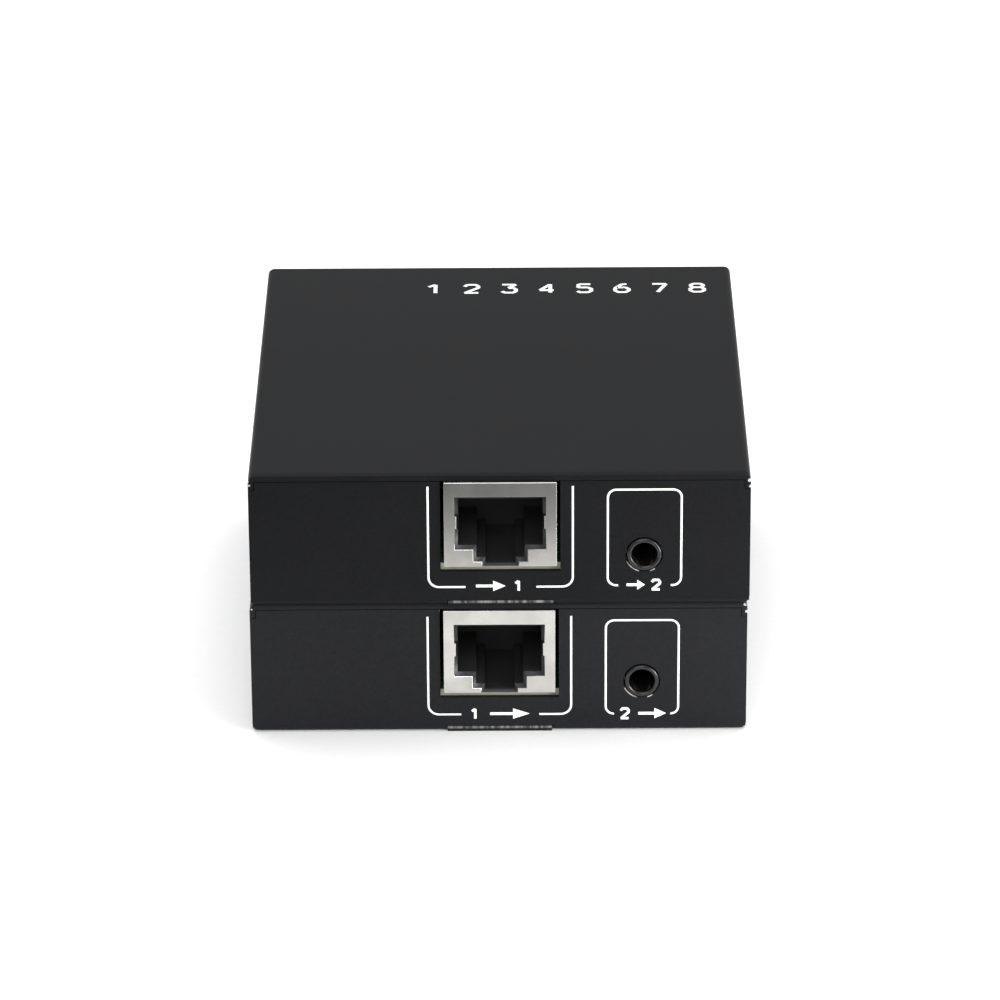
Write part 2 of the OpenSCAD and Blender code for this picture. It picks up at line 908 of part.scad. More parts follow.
// Plate out through a window and down to a foot on the board, on the right of the bore
module jack_terminal(y) {
    drop = jack_above_board + leaf_w / 2;
    translate([leaf_x, y, -leaf_w / 2])
        cube([foot_x + leaf_t - leaf_x, leaf_t, leaf_w]);
    translate([foot_x, y, -jack_above_board])
        cube([leaf_t, leaf_t, drop]);
    translate([foot_x, y - (foot_l - leaf_t) / 2, -jack_above_board])
        cube([foot_w, foot_l, leaf_t]);
}

module remote_jack_terminals() {
    root_back = leaf_root_y + leaf_t / 2 + hairline;
    color(gold_colour)
        translate([jack_x, 0, jack_z]) {
            jack_terminal(root_back);
            mirror([1, 0, 0]) {
                jack_terminal(sleeve_y);
                jack_terminal(root_back);
                leaf();
                // the ring's leaf is one piece with its terminal
                translate([leaf_x, leaf_root_y, -leaf_w / 2])
                    cube([leaf_t, leaf_t, leaf_w]);
            }
        }
}

module remote_jack_spring() {
    color(gold_colour)
        translate([jack_x, 0, jack_z])
            leaf();
}

// Video port

// The port's mouth as an x-z outline with chamfered lower corners, grown by a wall
module port_2d(grow) {
    half_w = port_w / 2 + grow;
    chamfer = port_chamfer + grow * (2 - sqrt(2));
    polygon([
        [-half_w, port_h + grow], [half_w, port_h + grow], [half_w, chamfer - grow],
        [half_w - chamfer, -grow], [chamfer - half_w, -grow], [-half_w, chamfer - grow]
    ]);
}

// Slit round three sides of a spring in the port's roof
module spring_slit_2d() {
    slit_w = port_spring_w + 2 * port_spring_slit;
    tip_y = port_d - port_spring_in - port_spring_l;
    difference() {
        translate([-slit_w / 2, tip_y - port_spring_slit])
            square([slit_w, port_spring_l + port_spring_slit]);
        translate([-port_spring_w / 2, tip_y])
            square([port_spring_w, port_spring_l + overrun]);
    }
}

module video_port_shell() {
    color(steel_colour) {
        translate([port_x, port_mouth_y - port_d, port_z])
            difference() {
                along_y(port_d)
                    difference() {
                        port_2d(port_wall);
                        port_2d(0);
                    }
                // slits that free two springs in the roof
                for (side = [-1, 1])
                    translate([side * port_spring_x, 0, port_h - overrun])
                        linear_extrude(port_wall + 2 * overrun)
                            spring_slit_2d();
            }
        at_port_legs()
            leg(0);
    }
}

module video_port_tongue() {
    blade_l = port_d - port_block_l - blade_in;
    color(black_plastic)
        translate([port_x, port_mouth_y - port_d, port_z]) {
            along_y(port_block_l)
                port_2d(0);
            block([blade_w, blade_l + port_block_l / 2, blade_t], port_block_l / 2, (port_h - blade_t) / 2);
        }
}

module video_port_contacts() {
    pad_y = port_d - blade_in - pad_in - pad_l;
    color(gold_colour)
        translate([port_x, port_mouth_y - port_d, port_z]) {
            for (i = [0 : pad_count - 1])
                translate([(i - (pad_count - 1) / 2) * pad_pitch, 0, 0])
                    block([pad_w, pad_l, pad_t], pad_y, (port_h + blade_t) / 2);
            for (i = [0 : pad_count - 2])
                translate([(i - (pad_count - 2) / 2) * pad_pitch, 0, 0])
                    block([pad_w, pad_l, pad_t], pad_y, (port_h - blade_t) / 2 - pad_t);
            for (i = [0 : 2 * pad_count - 2])
                translate([(i - pad_count + 1) * pad_pitch / 2, 0, 0])
                    block([tail_w, tail_l, tail_t], -tail_l, -port_wall);
        }
}

// Power jack

// Puts its children on the jack's axis at y = 0
module at_power_axis() {
    translate([power_x, 0, power_z])
        children();
}

module power_jack_body() {
    slot_w = power_leaf_w + 2 * power_leaf_room;
    floor_y = power_mouth_y - power_bore_l;
    slot_z = -power_bore_d / 2 - power_leaf_drop;
    root_y = floor_y + power_leaf_in;
    pin_hole_d = power_pin_root_d + 2 * thread_gap;
    color(black_plastic)
        at_power_axis()
            difference() {
                union() {
                    block([power_w, power_d, power_h], power_block_y, -power_axis_h);
                    translate([0, power_block_y + power_d / 2, 0])
                        rod_y(
                            power_mouth_y - power_block_y - power_d / 2,
                            power_bore_d + 2 * power_collar_wall, power_bore_d + 2 * power_collar_wall
                        );
                }
                translate([0, floor_y, 0])
                    rod_y(power_bore_l + overrun, power_bore_d, power_bore_d);
                translate([0, power_block_y - overrun, 0])
                    rod_y(power_d, pin_hole_d, pin_hole_d);
                // slot under the bore for the leaf, and the way down for its lug
                block(
                    [slot_w, power_leaf_l + 2 * power_leaf_room, power_leaf_drop + power_bore_d / 2],
                    root_y - power_leaf_room, slot_z
                );
                block(
                    [slot_w, 4 * power_leaf_room, power_axis_h + overrun],
                    root_y - 3 * power_leaf_room, -power_axis_h - overrun
                );
            }
}

module power_jack_terminals() {
    pin_y = power_block_y - power_lug_t;
    pin_l = power_mouth_y - power_pin_in - pin_y;
    floor_y = power_mouth_y - power_bore_l;
    leaf_end = floor_y + power_leaf_in - leaf_t / 2 - hairline;
    color(steel_colour)
        at_power_axis() {
            // pin, thicker where it goes through the body
            translate([0, pin_y, 0])
                rod_y(floor_y - pin_y, power_pin_root_d, power_pin_root_d);
            translate([0, pin_y, 0])
                rod_y(pin_l - power_pin_tip_l, power_pin_d, power_pin_d);
            translate([0, pin_y + pin_l - power_pin_tip_l, 0])
                rod_y(power_pin_tip_l, power_pin_d, power_pin_d * power_pin_tip_share);
            block([power_lug_w, power_lug_t, power_axis_h + power_lug_w / 2], pin_y, -power_axis_h);
            // lug of the leaf
            block([power_leaf_w, leaf_t, power_axis_h - power_leaf_x], leaf_end - leaf_t, -power_axis_h);
        }
}

// Leaf that bears on the plug's outside, hinged at its inner end
module power_jack_spring() {
    root_y = power_mouth_y - power_bore_l + power_leaf_in;
    bump_x = leaf_bump_r - leaf_bump_in - leaf_t / 2 - hairline;
    color(gold_colour)
        at_power_axis()
            translate([0, root_y, -power_leaf_x - leaf_t / 2])
                rotate([0, 90, 0]) {
                    cylinder(h = power_leaf_w, d = leaf_t, center = true);
                    translate([-leaf_t / 2, 0, -power_leaf_w / 2])
                        cube([leaf_t, power_leaf_l, power_leaf_w]);
                    translate([bump_x, power_leaf_l - leaf_bump_back, 0])
                        cylinder(h = power_leaf_w, r = leaf_bump_r, center = true);
                }
}

// Status light

module status_light() {
    dome_y = case_d + led_proud - led_d / 2;
    back_y = dome_y - led_body_l;
    color("#7fd08a")
        translate([led_x, 0, led_z]) {
            translate([0, back_y, 0]) {
                rotate([-90, 0, 0])
                    rotate_extrude()
                        intersection() {
                            union() {
                                square([led_d / 2, led_body_l]);
                                translate([0, led_body_l])
                                    circle(d = led_d);
                                square([led_d / 2 + led_flange_wall, led_flange_t]);
                            }
                            square([led_d, led_body_l + led_d]);
                        }
                for (side = [-1, 1])
                    translate([side * led_leg_pitch / 2, -led_leg_l, 0]) {
                        block([led_leg_t, led_leg_l + led_flange_t / 2, led_leg_t], 0, -led_leg_t / 2);
                        block([led_leg_t, led_leg_t, led_above_board], 0, -led_above_board);
                    }
            }
        }
}

// Parts on the board

// One row of bent leads along y, standing on z = 0 and reaching outwards from the given x
module lead_row(count, pitch, x, body_h) {
    bend = lead_l * lead_bend_share;
    rise = body_h * lead_rise_share;
    lead_w = pitch * lead_width_share;
    for (i = [0 : count - 1])
        translate([x, (i - (count - 1) / 2) * pitch - lead_w / 2, 0])
            along_y(lead_w)
                polygon([
                    [-bend, rise], [bend, rise], [bend, lead_t], [lead_l, lead_t], [lead_l, 0],
                    [bend - lead_t, 0], [bend - lead_t, rise - lead_t], [-bend, rise - lead_t]
                ]);
}

// Moulded body over rows of leads on the sides that the turns name
module chip(size, count, pitch, turns) {
    block([size.x, size.y, size.z - chip_lift], -size.y / 2, chip_lift);
    for (turn = turns)
        rotate(turn)
            lead_row(count, pitch, (turn % 180 == 0 ? size.x : size.y) / 2, size.z);
}

module on_board(at) {
    translate([at.x, at.y, board_top])
        children();
}

module line_transformer() {
    color(black_plastic)
        on_board(transformer_at)
            chip(transformer_size, transformer_leads, transformer_pitch, [0, 180]);
}

module video_chip() {
    color(black_plastic)
        on_board(video_chip_at)
            chip(video_chip_size, video_chip_leads, video_chip_pitch, [0, 90, 180, 270]);
}

module control_chip() {
    color(black_plastic)
        on_board(control_chip_at)
            chip(control_chip_size, control_chip_leads, control_chip_pitch, [0, 180]);
}

module regulator() {
    color(black_plastic)
        on_board(regulator_at) {
            chip(regulator_size, regulator_leads, regulator_pitch, [180]);
            lead_row(1, regulator_tab_w / lead_width_share, regulator_size.x / 2, regulator_size.z);
        }
}

module inductor() {
    half_w = inductor_w / 2;
    cut_w = half_w - inductor_chamfer;
    color("#3a3a3c")
        on_board(inductor_at) {
            linear_extrude(inductor_h)
                polygon([
                    [-half_w, -cut_w], [-cut_w, -half_w], [cut_w, -half_w], [half_w, -cut_w],
                    [half_w, cut_w], [cut_w, half_w], [-cut_w, half_w], [-half_w, cut_w]
                ]);
            cylinder(h = inductor_h + inductor_core_h, d = inductor_core_d);
        }
}

module capacitors() {
    color("silver")
        for (i = [0 : capacitor_count - 1])
            on_board(capacitor_at - [0, i * capacitor_pitch]) {
                translate([0, -capacitor_base_w / 2, 0])
                    linear_extrude(capacitor_base_h)
                        rounded_2d(capacitor_base_w, capacitor_base_w, capacitor_base_r);
                cylinder(h = capacitor_h, d = capacitor_d);
            }
}

module crystal() {
    end_y = (crystal_size.y - crystal_size.x) / 2;
    color("silver")
        on_board(crystal_at) {
            for (side = [-1, 1])
                translate([0, side * end_y, 0])
                    cylinder(h = crystal_size.z, d = crystal_size.x);
            block([crystal_size.x, 2 * end_y, crystal_size.z], -end_y, 0);
        }
}

module resistors() {
    cap_l = resistor_size.x * resistor_cap_share;
    body = resistor_size - [0, 0, resistor_cap_t];
    color(black_plastic)
        for (i = [0 : resistor_columns - 1], j = [0 : resistor_rows - 1])
            on_board(resistor_at + [i * resistor_pitch.x, j * resistor_pitch.y]) {
                block(body, -body.y / 2, 0);
                for (side = [-1, 1])
                    translate([side * (resistor_size.x - cap_l) / 2, 0, 0])
                        block([cap_l, resistor_size.y, resistor_size.z], -resistor_size.y / 2, 0);
            }
}

transmitter() cover();  // transmitter_cover
transmitter() base();  // transmitter_base
transmitter() cover_screws();  // transmitter_cover_screws
transmitter() standoffs();  // transmitter_standoffs
transmitter() board();  // transmitter_board
transmitter() board_screws();  // transmitter_board_screws
transmitter() line_socket_shield();  // transmitter_line_socket_shield
transmitter() line_socket_housing();  // transmitter_line_socket_housing
transmitter() line_socket_leads();  // transmitter_line_socket_leads
transmitter() line_socket_contacts();  // transmitter_line_socket_contacts
transmitter() remote_jack_body();  // transmitter_remote_jack_body
transmitter() remote_jack_terminals();  // transmitter_remote_jack_terminals
transmitter() remote_jack_spring();  // transmitter_remote_jack_spring
transmitter() video_port_shell();  // transmitter_video_port_shell
transmitter() video_port_tongue();  // transmitter_video_port_tongue
transmitter() video_port_contacts();  // transmitter_video_port_contacts
transmitter() power_jack_body();  // transmitter_power_jack_body
transmitter() power_jack_terminals();  // transmitter_power_jack_terminals
transmitter() power_jack_spring();  // transmitter_power_jack_spring
transmitter() status_light();  // transmitter_status_light
transmitter() line_transformer();  // transmitter_line_transformer
transmitter() video_chip();  // transmitter_video_chip
transmitter() control_chip();  // transmitter_control_chip
transmitter() regulator();  // transmitter_regulator
transmitter() inductor();  // transmitter_inductor
transmitter() capacitors();  // transmitter_capacitors
transmitter() crystal();  // transmitter_crystal
transmitter() resistors();  // transmitter_resistors

receiver() cover();  // receiver_cover
receiver() base();  // receiver_base
receiver() cover_screws();  // receiver_cover_screws
receiver() standoffs();  // receiver_standoffs
receiver() board();  // receiver_board
receiver() board_screws();  // receiver_board_screws
receiver() line_socket_shield();  // receiver_line_socket_shield
receiver() line_socket_housing();  // receiver_line_socket_housing
receiver() line_socket_leads();  // receiver_line_socket_leads
receiver() line_socket_contacts();  // receiver_line_socket_contacts
receiver() remote_jack_body();  // receiver_remote_jack_body
receiver() remote_jack_terminals();  // receiver_remote_jack_terminals
receiver() remote_jack_spring();  // receiver_remote_jack_spring
receiver() video_port_shell();  // receiver_video_port_shell
receiver() video_port_tongue();  // receiver_video_port_tongue
receiver() video_port_contacts();  // receiver_video_port_contacts
receiver() power_jack_body();  // receiver_power_jack_body
receiver() power_jack_terminals();  // receiver_power_jack_terminals
receiver() power_jack_spring();  // receiver_power_jack_spring
receiver() status_light();  // receiver_status_light
receiver() line_transformer();  // receiver_line_transformer
receiver() video_chip();  // receiver_video_chip
receiver() control_chip();  // receiver_control_chip
receiver() regulator();  // receiver_regulator
receiver() inductor();  // receiver_inductor
receiver() capacitors();  // receiver_capacitors
receiver() crystal();  // receiver_crystal
receiver() resistors();  // receiver_resistors
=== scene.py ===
"""Looks of a pair of signal extender units, a receiver stacked on a transmitter.

Lengths are in millimetres where a name or a table says so, and in metres elsewhere.
"""

import math

import bmesh
import bpy
from mathutils import Matrix, Vector


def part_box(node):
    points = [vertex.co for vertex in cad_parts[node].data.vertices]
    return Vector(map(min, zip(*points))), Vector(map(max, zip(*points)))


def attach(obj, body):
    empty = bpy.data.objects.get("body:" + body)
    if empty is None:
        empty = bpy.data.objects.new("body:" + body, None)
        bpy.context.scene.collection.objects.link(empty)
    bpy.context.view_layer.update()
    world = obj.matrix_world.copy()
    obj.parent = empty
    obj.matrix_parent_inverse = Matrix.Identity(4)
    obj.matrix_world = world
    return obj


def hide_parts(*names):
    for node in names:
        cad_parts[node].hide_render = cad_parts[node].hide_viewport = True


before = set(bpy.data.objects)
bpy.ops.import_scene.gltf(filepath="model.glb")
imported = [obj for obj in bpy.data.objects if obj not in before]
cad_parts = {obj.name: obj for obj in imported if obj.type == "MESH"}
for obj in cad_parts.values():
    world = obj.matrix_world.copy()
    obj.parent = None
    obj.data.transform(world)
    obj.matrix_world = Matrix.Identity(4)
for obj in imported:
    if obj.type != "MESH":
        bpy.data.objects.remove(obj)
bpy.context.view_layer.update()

MM = 0.001
UNITS = ("transmitter", "receiver")
WELD = 0.001 * MM

# ---------------------------------------------------------------- sizes of the real object, in mm

CASE_H = 20.3
CASE_D = 78.5
SOCKET_X = 0.1
TONGUE_HALF_W = 7.55
TONGUE_EDGE_Z = 0.62
JACK_X = 20.5
JACK_Z = 8.0
JACK_HOLE_R = 2.65
INK_T = 0.03
INK_LINE_W = 0.3


def unit_origin(unit):
    """Middle of a unit's front edge at its underside, in metres."""
    low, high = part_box(unit + "_cover")
    return Vector(((low[0] + high[0]) / 2, low[1], high[2] - CASE_H * MM))


ORIGIN = {unit: unit_origin(unit) for unit in UNITS}


def spot(unit, x, y, z):
    """A point of a unit, given in mm from its origin, in metres in the shared frame."""
    return ORIGIN[unit] + Vector((x, y, z)) * MM


# ---------------------------------------------------------------- camera, floor and light

def add_camera():
    """The photograph's camera, fitted to the corners of both cases."""
    azimuth = math.radians(0.119)
    elevation = math.radians(24.3)
    roll = math.radians(0.345)
    target = Vector((0.116, -0.35, 19.11)) * MM
    distance = 823.36 * MM
    focal_length = 5528.5
    picture_width = 1000
    level = math.cos(elevation)
    back = Vector((math.sin(azimuth) * level, -math.cos(azimuth) * level, math.sin(elevation)))
    right = Vector((math.cos(azimuth), math.sin(azimuth), 0))
    up = back.cross(right)
    across = right * math.cos(roll) - up * math.sin(roll)
    upright = right * math.sin(roll) + up * math.cos(roll)
    camera = bpy.data.objects.new("camera", bpy.data.cameras.new("camera"))
    bpy.context.scene.collection.objects.link(camera)
    turn = Matrix((across, upright, back)).transposed().to_4x4()
    camera.matrix_world = Matrix.Translation(target + back * distance) @ turn
    camera.data.sensor_width = 36
    camera.data.lens = focal_length / picture_width * camera.data.sensor_width
    camera.data.clip_start = 0.01
    bpy.context.scene.camera = camera


class Graph:
    """Adds nodes to a tree, with values or links given by socket name or number."""

    def __init__(self, tree):
        self.tree = tree

    def add(self, kind, inputs=None, **settings):
        node = self.tree.nodes.new(kind)
        for name, value in settings.items():
            setattr(node, name, value)
        for socket, value in (inputs or {}).items():
            if isinstance(value, bpy.types.NodeSocket):
                self.tree.links.new(value, node.inputs[socket])
            else:
                node.inputs[socket].default_value = value
        return node

    def math(self, operation, first, second=0.0):
        return self.add("ShaderNodeMath", {0: first, 1: second}, operation=operation).outputs[0]

    def ramp(self, value, low, high, out_low=0.0, out_high=1.0):
        node = self.add("ShaderNodeMapRange", {
            "Value": value, "From Min": low, "From Max": high, "To Min": out_low, "To Max": out_high})
        return node.outputs[0]

    def noise(self, position, scale, detail=2.0, roughness=0.5):
        return self.add("ShaderNodeTexNoise", {
            "Vector": position, "Scale": scale, "Detail": detail, "Roughness": roughness}).outputs[0]

    def mix(self, factor, first, second):
        node = self.add("ShaderNodeMix", {0: factor, 6: first, 7: second}, data_type="RGBA")
        return node.outputs[2]

    def bump(self, height, strength, distance):
        return self.add("ShaderNodeBump", {
            "Height": height, "Strength": strength, "Distance": distance}).outputs[0]


def empty_material(name):
    material = bpy.data.materials.new(name)
    material.use_nodes = True
    material.node_tree.nodes.clear()
    return material, Graph(material.node_tree)


def surface(graph, inputs):
    shader = graph.add("ShaderNodeBsdfPrincipled", inputs)
    graph.add("ShaderNodeOutputMaterial", {"Surface": shader.outputs[0]})


def linked(name, mesh):
    piece = bpy.data.objects.new(name, mesh)
    bpy.context.scene.collection.objects.link(piece)
    return piece


def add_mesh(name, vertices, faces, material):
    mesh = bpy.data.meshes.new(name)
    mesh.from_pydata(vertices, [], faces)
    mesh.materials.append(material)
    return linked(name, mesh)


FLOOR_HALF_W = 1.0
# The dark card in front, as half its width, its near and far edges and its height above the floor
FRONT_CARD_HALF_W = 0.9
FRONT_CARD_NEAR = -0.075
FRONT_CARD_FAR = -1.4
FRONT_CARD_Z = 0.0004
# Where its tone starts and is full along the depth, how it grows across it, and how bright it is
FRONT_CARD_FADE = (-0.08, -0.118)
FRONT_CARD_SIDES = (0.05, -0.05)
FRONT_CARD_SHARES = (0.6, 1.0)
FRONT_CARD_TONE = 0.05
# The graded card behind, as half its width, its place along the depth and its height
REAR_CARD_HALF_W = 0.4
REAR_CARD_Y = 0.15
REAR_CARD_H = 0.4
# Between which heights its tone rises, from which share to which, and how bright it is
REAR_CARD_FADE = (0.085, 0.13)
REAR_CARD_SHARES = (0.25, 0.8)
REAR_CARD_TONE = 0.1


def add_stage():
    """Pale floor, and two cards that only gloss sees."""
    paper, graph = empty_material("floor_paper")
    where = graph.add("ShaderNodeTexCoord").outputs["Object"]
    fibre = graph.noise(where, 900.0)
    colour = graph.mix(fibre, (0.9, 0.9, 0.9, 1), (0.94, 0.94, 0.94, 1))
    surface(graph, {"Base Color": colour, "Roughness": 0.9, "Specular IOR Level": 0.1})
    half = FLOOR_HALF_W
    corners = [(-half, -half, 0), (half, -half, 0), (half, half, 0), (-half, half, 0)]
    add_mesh("floor", corners, [(0, 1, 2, 3)], paper)

    dark, graph = empty_material("front_card_tone")
    across, along, _ = object_place(graph)
    fade = graph.ramp(along, *FRONT_CARD_FADE)
    aside = graph.ramp(across, *FRONT_CARD_SIDES, *FRONT_CARD_SHARES)
    tone = graph.math("MULTIPLY", fade, aside)
    add_tone(graph, tone, FRONT_CARD_TONE)
    half, near, far, rise = FRONT_CARD_HALF_W, FRONT_CARD_NEAR, FRONT_CARD_FAR, FRONT_CARD_Z
    corners = [(-half, far, rise), (half, far, rise), (half, near, rise), (-half, near, rise)]
    add_card("front_card", corners, dark)
    graded, graph = empty_material("rear_card_tone")
    tone = graph.ramp(object_place(graph)[2], *REAR_CARD_FADE, *REAR_CARD_SHARES)
    add_tone(graph, tone, REAR_CARD_TONE)
    half, back, top = REAR_CARD_HALF_W, REAR_CARD_Y, REAR_CARD_H
    corners = [(-half, back, 0), (-half, back, top), (half, back, top), (half, back, 0)]
    add_card("rear_card", corners, graded)


def object_place(graph):
    """Object coordinates, apart, as sockets for x, y and z."""
    where = graph.add("ShaderNodeTexCoord").outputs["Object"]
    return graph.add("ShaderNodeSeparateXYZ", {0: where}).outputs[:3]


def add_tone(graph, share, brightness):
    """Covers the share given with a plain tone and leaves the rest clear."""
    plain = graph.add("ShaderNodeEmission", {"Color": (1, 1, 1, 1), "Strength": brightness})
    clear = graph.add("ShaderNodeBsdfTransparent")
    blend = graph.add("ShaderNodeMixShader", {0: share, 1: clear.outputs[0], 2: plain.outputs[0]})
    graph.add("ShaderNodeOutputMaterial", {"Surface": blend.outputs[0]})


def add_card(name, corners, material):
    """A card that lights nothing and shows only in gloss."""
    card = add_mesh(name, corners, [(0, 1, 2, 3)], material)
    card.visible_camera = False
    card.visible_diffuse = False
    card.visible_shadow = False
    card.visible_transmission = False


def add_softbox(name, place, aim, size, power):
    """An area light that faces its aim."""
    light = bpy.data.lights.new(name, "AREA")
    light.shape = "RECTANGLE"
    light.size, light.size_y = size
    light.energy = power
    lamp = bpy.data.objects.new(name, light)
    bpy.context.scene.collection.objects.link(lamp)
    lamp.location = place
    lamp.rotation_euler = (Vector(aim) - Vector(place)).to_track_quat("-Z", "Y").to_euler()


# Soft lights, as name, place, aim and size in metres, and power in watts
SOFTBOXES = (
    ("top_softbox", (0.0, 0.25, 1.1), (0, 0, 0), (1.2, 1.0), 11.0),
    ("front_softbox", (-0.2, -1.1, 0.9), (0, 0, 0), (0.9, 0.7), 7.0),
    ("right_softbox", (0.8, -0.7, 0.35), (0, 0, 0), (0.6, 0.5), 4.5),
    ("right_glow", (0.115, -0.1, 0.02), (0.034, -0.04, 0.01), (0.05, 0.04), 0.1),
)
WORLD_LIGHT = 0.62
WORLD_SEEN = 1.05


def add_lights():
    """Soft lights, and a white surround that the camera sees brighter than the pieces do."""
    for softbox in SOFTBOXES:
        add_softbox(*softbox)
    world = bpy.data.worlds.new("studio")
    bpy.context.scene.world = world
    world.use_nodes = True
    world.node_tree.nodes.clear()
    graph = Graph(world.node_tree)
    path = graph.add("ShaderNodeLightPath")
    seen = graph.math("MAXIMUM", path.outputs["Is Camera Ray"], path.outputs["Is Transmission Ray"])
    strength = graph.ramp(seen, 0.0, 1.0, WORLD_LIGHT, WORLD_SEEN)
    sky = graph.add("ShaderNodeBackground", {"Color": (1, 1, 1, 1), "Strength": strength})
    graph.add("ShaderNodeOutputWorld", {"Surface": sky.outputs[0]})


# ---------------------------------------------------------------- finishes

COAT_DARK = (0.0068, 0.0072, 0.008, 1)
COAT_LIGHT = (0.0098, 0.0102, 0.0112, 1)
COAT_GRAIN = (0.02, 0.0205, 0.022, 1)
COAT_GLOSS = 0.13
COAT_ROUGHNESS = 0.4
BARE_STEEL = (0.75, 0.74, 0.72, 1)
# Colour that the painted shade on the receiver's front leans towards
SHADE_BLACK = (0.0, 0.0, 0.0, 1)
TIN_DARK = (0.48, 0.474, 0.449, 1)
TIN_LIGHT = (0.62, 0.612, 0.585, 1)
# Darker tin of the painted shade on the receiver's shield
TIN_SHADE = (0.1, 0.1, 0.094, 1)
MASK_GREEN = (0.012, 0.07, 0.03, 1)
TRACK_GREEN = (0.03, 0.17, 0.06, 1)
RESIN_DARK = (0.29, 0.29, 0.22, 1)
RESIN_LIGHT = (0.4, 0.4, 0.32, 1)
# Painted shade on the receiver's shield, in mm: it starts above the lower edge, is full below the top, and
# ends between two depths under the bright upper rim, which it leaves unshaded
TIN_SHADE_START = 2.5
TIN_SHADE_FULL = 1.0
TIN_RIM = (0.12, 0.06)
TIN_SHADE_SHARE = 0.47
# Depth in mm that the solder mask's colour reaches down the board's edge
MASK_T = 0.04


def powder_coat():
    """Satin black powder coat, with bare steel where a burr or a corner has lost it, and painted shade on
    the receiver's front.
    """
    material, graph = empty_material("black_powder_coat")
    where = graph.add("ShaderNodeTexCoord").outputs["Object"]
    grain = graph.noise(where, 3200.0, 3.0, 0.55)
    cloud = graph.noise(where, 90.0, 3.0)
    coat = graph.mix(cloud, COAT_DARK, COAT_LIGHT)
    coat = graph.mix(graph.ramp(grain, 0.35, 0.75, 0.0, 0.3), coat, COAT_GRAIN)
    sheared = graph.math("MULTIPLY", sheared_edges(graph, where), SHEAR_SHARE)
    worn = graph.math("MAXIMUM", worn_places(graph, where), sheared)
    worn = graph.math("MAXIMUM", worn, bare_arcs(graph, where))
    # Painted shade: the receiver's front and the edge just under it are darkened towards black and lose
    # their gloss
    painted_shade = painted_front_shade(graph, where)
    coat = graph.mix(painted_shade, coat, SHADE_BLACK)
    colour = graph.mix(worn, coat, BARE_STEEL)
    roughness = graph.add(
        "ShaderNodeMath", {0: cloud, 1: 0.12, 2: COAT_ROUGHNESS}, operation="MULTIPLY_ADD").outputs[0]
    surface(graph, {
        "Base Color": colour, "Metallic": worn, "Roughness": roughness,
        "Specular IOR Level": graph.ramp(painted_shade, 0.0, 1.0, COAT_GLOSS, 0.0),
        "Normal": graph.bump(grain, 0.35, 0.03 * MM)})
    return material


# Places where the coat is off, as unit, x, y, z and radius in mm
WORN = (
    ("receiver", -35.42, 0.25, 19.6, 0.55),
    ("receiver", -35.3, 0.0, 18.95, 0.3),
    ("receiver", -35.45, 0.2, 18.1, 0.3),
    ("receiver", 35.35, 0.1, 19.4, 0.5),
    ("receiver", 35.45, 0.1, 18.5, 0.45),
    ("receiver", -8.3, 0.2, 19.3, 0.28),
    ("transmitter", -35.2, 0.15, 19.6, 0.34),
    ("transmitter", -8.4, 0.2, 19.25, 0.36),
    ("transmitter", 8.6, 0.2, 19.2, 0.22),
    ("transmitter", 35.2, 0.1, 20.0, 0.45),
    ("transmitter", 35.4, 0.1, 18.9, 0.45),
    ("transmitter", 33.2, 0.1, 19.75, 0.2),
)
# Arcs of the hole round each remote jack where the punched edge is bare, in mm from the jack's middle:
# the height that they stay under, then the least and the most x
BARE_ARCS = ((-1.15, -2.6, -0.75), (-2.2, 0.8, 1.5))
# How far outside the hole that bare line lies, how its half width fades and how deep it reaches, in mm
ARC_OUT = 0.04
ARC_FADE = (0.13, 0.06)
ARC_DEPTH = 0.05
# How the half width of the bare line on each tongue fades, and how deep it reaches, in mm
SHEAR_FADE = (0.26, 0.12)
SHEAR_DEPTH = 0.3
SHEAR_SHARE = 0.35
# How deep the painted shade on the receiver's front reaches, and how far it takes in the edge under it, in
# mm
FRONT_SHADE_FADE = (1.4, 0.6)
FRONT_SHADE_BELOW = 0.35
FRONT_SHADE_SHARE = 0.3


def painted_front_shade(graph, where):
    """Painted shade: how much the coat on the receiver's front, and on the edge just under it, is darkened
    and loses its gloss.
    """
    low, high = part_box("receiver_cover")
    _, along, height = graph.add("ShaderNodeSeparateXYZ", {0: where}).outputs
    deep, shallow = (low[1] + depth * MM for depth in FRONT_SHADE_FADE)
    front = graph.ramp(along, deep, shallow, 0.0, FRONT_SHADE_SHARE)
    above = graph.math("GREATER_THAN", height, high[2] - (CASE_H + FRONT_SHADE_BELOW) * MM)
    return graph.math("MULTIPLY", front, above)


def worn_places(graph, where):
    """How much bare steel shows at the places where the coat is off."""
    rag = graph.noise(where, 2600.0, 2.0)
    total = None
    for unit, x, y, z, radius in WORN:
        middle = spot(unit, x, y, z)
        gap = graph.add(
            "ShaderNodeVectorMath", {0: where, 1: middle}, operation="DISTANCE").outputs["Value"]
        near = graph.ramp(gap, radius * MM, 0.4 * radius * MM)
        total = near if total is None else graph.math("MAXIMUM", total, near)
    return graph.ramp(graph.math("MULTIPLY", total, rag), 0.32, 0.5)


